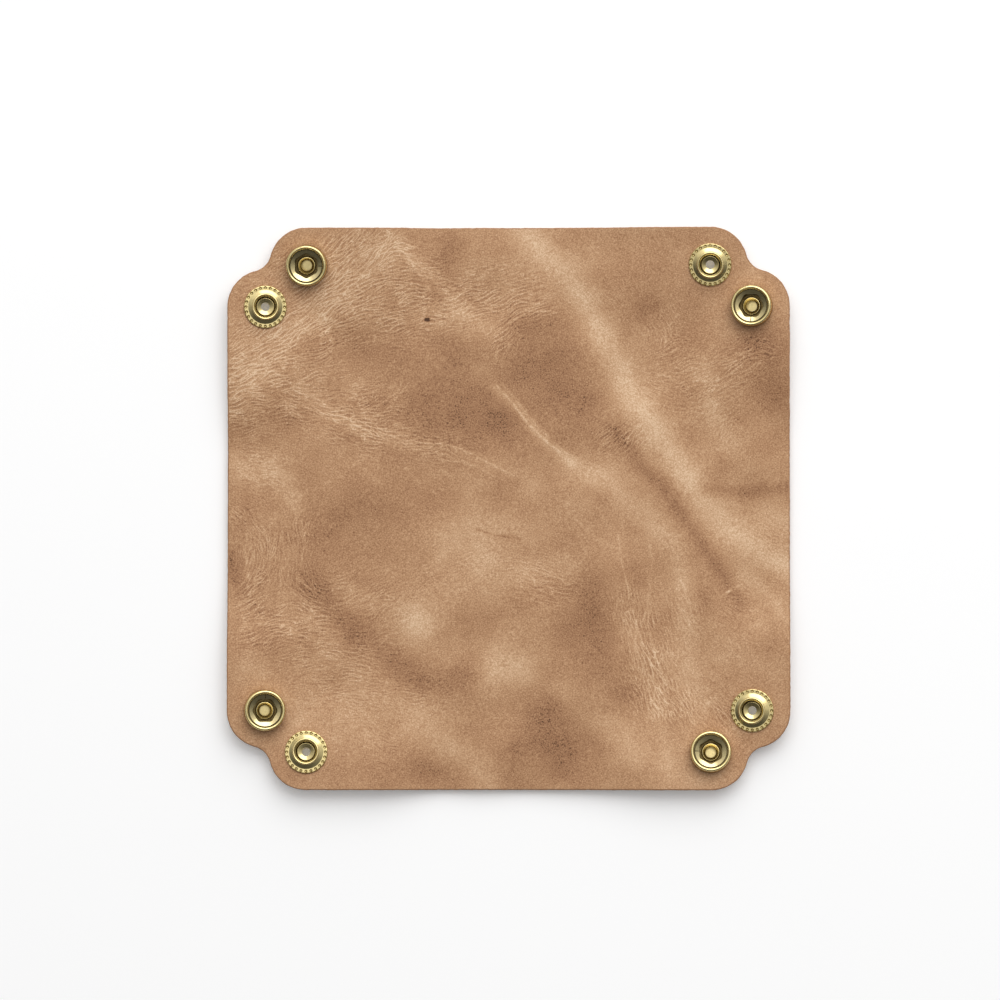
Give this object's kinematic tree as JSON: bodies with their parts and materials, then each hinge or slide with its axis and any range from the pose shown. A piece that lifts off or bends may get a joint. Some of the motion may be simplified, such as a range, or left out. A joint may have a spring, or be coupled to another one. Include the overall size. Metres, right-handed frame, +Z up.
{
  "type": "valet tray",
  "caption": "Square leather valet tray lying open, with ring-spring snaps at notched corners that pinch together to raise the sides.",
  "frame": {"origin": "middle of the floor's underside, on the surface that the tray lies on", "axes": "+Z up out of the tray, +Y towards the north wall, +X towards the east wall"},
  "size_m": [0.1782, 0.1782, 0.0094],
  "materials": {
    "leather": "waxed pull-up grain, matte",
    "brass": "bright plated",
    "spring": "pressed strip"
  },
  "bodies": {
    "floor": {"leather_floor": "leather"},
    "wall_north": {"wall_north": "leather"},
    "ear_north_east": {"ear_north_east": "leather", "stud_north_east": "brass", "eyelet_north_east": "brass"},
    "corner_fold_north_east": {"corner_fold_north_east": "leather"},
    "ear_north_west": {"ear_north_west": "leather", "cap_shell_north_west": "brass", "cap_post_north_west": "brass", "socket_shell_north_west": "brass", "socket_cup_north_west": "brass", "spring_ring_north_west": "spring"},
    "corner_fold_north_west": {"corner_fold_north_west": "leather"},
    "wall_east": {"wall_east": "leather"},
    "ear_east_south": {"ear_east_south": "leather", "stud_south_east": "brass", "eyelet_south_east": "brass"},
    "corner_fold_east_south": {"corner_fold_east_south": "leather"},
    "ear_east_north": {"ear_east_north": "leather", "cap_shell_north_east": "brass", "cap_post_north_east": "brass", "socket_shell_north_east": "brass", "socket_cup_north_east": "brass", "spring_ring_north_east": "spring"},
    "corner_fold_east_north": {"corner_fold_east_north": "leather"},
    "wall_south": {"wall_south": "leather"},
    "ear_south_west": {"ear_south_west": "leather", "stud_south_west": "brass", "eyelet_south_west": "brass"},
    "corner_fold_south_west": {"corner_fold_south_west": "leather"},
    "ear_south_east": {"ear_south_east": "leather", "cap_shell_south_east": "brass", "cap_post_south_east": "brass", "socket_shell_south_east": "brass", "socket_cup_south_east": "brass", "spring_ring_south_east": "spring"},
    "corner_fold_south_east": {"corner_fold_south_east": "leather"},
    "wall_west": {"wall_west": "leather"},
    "ear_west_north": {"ear_west_north": "leather", "stud_north_west": "brass", "eyelet_north_west": "brass"},
    "corner_fold_west_north": {"corner_fold_west_north": "leather"},
    "ear_west_south": {"ear_west_south": "leather", "cap_shell_south_west": "brass", "cap_post_south_west": "brass", "socket_shell_south_west": "brass", "socket_cup_south_west": "brass", "spring_ring_south_west": "spring"},
    "corner_fold_west_south": {"corner_fold_west_south": "leather"}
  },
  "joints": [
    {"name": "fold_north", "type": "hinge", "parent": "floor", "child": "wall_north", "pos_m": [0, 0.054, 0.0024], "axis": [1, 0, 0], "range_deg": [0, 75.97]},
    {"name": "turn_north_east", "type": "hinge", "parent": "wall_north", "child": "ear_north_east", "pos_m": [0.04945, 0.05425, 0.00001], "axis": [0.1392, 0.9849, 0.1026], "range_deg": [0, 45.57]},
    {"name": "bend_north_east", "type": "hinge", "parent": "ear_north_east", "child": "corner_fold_north_east", "pos_m": [0.05046, 0.054, 0.0024], "axis": [-0.7071, -0.7033, -0.0733], "range_deg": [0, 90]},
    {"name": "turn_north_west", "type": "hinge", "parent": "wall_north", "child": "ear_north_west", "pos_m": [-0.04945, 0.05425, 0.00001], "axis": [0.1392, -0.9849, -0.1026], "range_deg": [0, 45.57], "deforming": ["spring_ring_north_west"]},
    {"name": "bend_north_west", "type": "hinge", "parent": "ear_north_west", "child": "corner_fold_north_west", "pos_m": [-0.05046, 0.054, 0.0024], "axis": [-0.7071, 0.7033, 0.0733], "range_deg": [0, 90]},
    {"name": "fold_east", "type": "hinge", "parent": "floor", "child": "wall_east", "pos_m": [0.054, 0, 0.0024], "axis": [0, -1, 0], "range_deg": [0, 75.97]},
    {"name": "turn_east_south", "type": "hinge", "parent": "wall_east", "child": "ear_east_south", "pos_m": [0.05425, -0.04945, 0.00001], "axis": [0.9849, -0.1392, 0.1026], "range_deg": [0, 45.57]},
    {"name": "bend_east_south", "type": "hinge", "parent": "ear_east_south", "child": "corner_fold_east_south", "pos_m": [0.054, -0.05046, 0.0024], "axis": [-0.7033, 0.7071, -0.0733], "range_deg": [0, 90]},
    {"name": "turn_east_north", "type": "hinge", "parent": "wall_east", "child": "ear_east_north", "pos_m": [0.05425, 0.04945, 0.00001], "axis": [-0.9849, -0.1392, -0.1026], "range_deg": [0, 45.57], "deforming": ["spring_ring_north_east"]},
    {"name": "bend_east_north", "type": "hinge", "parent": "ear_east_north", "child": "corner_fold_east_north", "pos_m": [0.054, 0.05046, 0.0024], "axis": [0.7033, 0.7071, 0.0733], "range_deg": [0, 90]},
    {"name": "fold_south", "type": "hinge", "parent": "floor", "child": "wall_south", "pos_m": [0, -0.054, 0.0024], "axis": [-1, 0, 0], "range_deg": [0, 75.97]},
    {"name": "turn_south_west", "type": "hinge", "parent": "wall_south", "child": "ear_south_west", "pos_m": [-0.04945, -0.05425, 0.00001], "axis": [-0.1392, -0.9849, 0.1026], "range_deg": [0, 45.57]},
    {"name": "bend_south_west", "type": "hinge", "parent": "ear_south_west", "child": "corner_fold_south_west", "pos_m": [-0.05046, -0.054, 0.0024], "axis": [0.7071, 0.7033, -0.0733], "range_deg": [0, 90]},
    {"name": "turn_south_east", "type": "hinge", "parent": "wall_south", "child": "ear_south_east", "pos_m": [0.04945, -0.05425, 0.00001], "axis": [-0.1392, 0.9849, -0.1026], "range_deg": [0, 45.57], "deforming": ["spring_ring_south_east"]},
    {"name": "bend_south_east", "type": "hinge", "parent": "ear_south_east", "child": "corner_fold_south_east", "pos_m": [0.05046, -0.054, 0.0024], "axis": [0.7071, -0.7033, 0.0733], "range_deg": [0, 90]},
    {"name": "fold_west", "type": "hinge", "parent": "floor", "child": "wall_west", "pos_m": [-0.054, 0, 0.0024], "axis": [0, 1, 0], "range_deg": [0, 75.97]},
    {"name": "turn_west_north", "type": "hinge", "parent": "wall_west", "child": "ear_west_north", "pos_m": [-0.05425, 0.04945, 0.00001], "axis": [-0.9849, 0.1392, 0.1026], "range_deg": [0, 45.57]},
    {"name": "bend_west_north", "type": "hinge", "parent": "ear_west_north", "child": "corner_fold_west_north", "pos_m": [-0.054, 0.05046, 0.0024], "axis": [0.7033, -0.7071, -0.0733], "range_deg": [0, 90]},
    {"name": "turn_west_south", "type": "hinge", "parent": "wall_west", "child": "ear_west_south", "pos_m": [-0.05425, -0.04945, 0.00001], "axis": [0.9849, 0.1392, -0.1026], "range_deg": [0, 45.57], "deforming": ["spring_ring_south_west"]},
    {"name": "bend_west_south", "type": "hinge", "parent": "ear_west_south", "child": "corner_fold_west_south", "pos_m": [-0.054, -0.05046, 0.0024], "axis": [-0.7033, -0.7071, 0.0733], "range_deg": [0, 90]}
  ],
  "couplings": [
    {"joint": "turn_north_east", "follows": "fold_north", "ratio": 0.59977},
    {"joint": "bend_north_east", "follows": "fold_north", "ratio": 1.1846},
    {"joint": "turn_north_west", "follows": "fold_north", "ratio": 0.59977},
    {"joint": "bend_north_west", "follows": "fold_north", "ratio": 1.1846},
    {"joint": "fold_east", "follows": "fold_north", "ratio": 1},
    {"joint": "turn_east_south", "follows": "fold_north", "ratio": 0.59977},
    {"joint": "bend_east_south", "follows": "fold_north", "ratio": 1.1846},
    {"joint": "turn_east_north", "follows": "fold_north", "ratio": 0.59977},
    {"joint": "bend_east_north", "follows": "fold_north", "ratio": 1.1846},
    {"joint": "fold_south", "follows": "fold_north", "ratio": 1},
    {"joint": "turn_south_west", "follows": "fold_north", "ratio": 0.59977},
    {"joint": "bend_south_west", "follows": "fold_north", "ratio": 1.1846},
    {"joint": "turn_south_east", "follows": "fold_north", "ratio": 0.59977},
    {"joint": "bend_south_east", "follows": "fold_north", "ratio": 1.1846},
    {"joint": "fold_west", "follows": "fold_north", "ratio": 1},
    {"joint": "turn_west_north", "follows": "fold_north", "ratio": 0.59977},
    {"joint": "bend_west_north", "follows": "fold_north", "ratio": 1.1846},
    {"joint": "turn_west_south", "follows": "fold_north", "ratio": 0.59977},
    {"joint": "bend_west_south", "follows": "fold_north", "ratio": 1.1846}
  ]
}
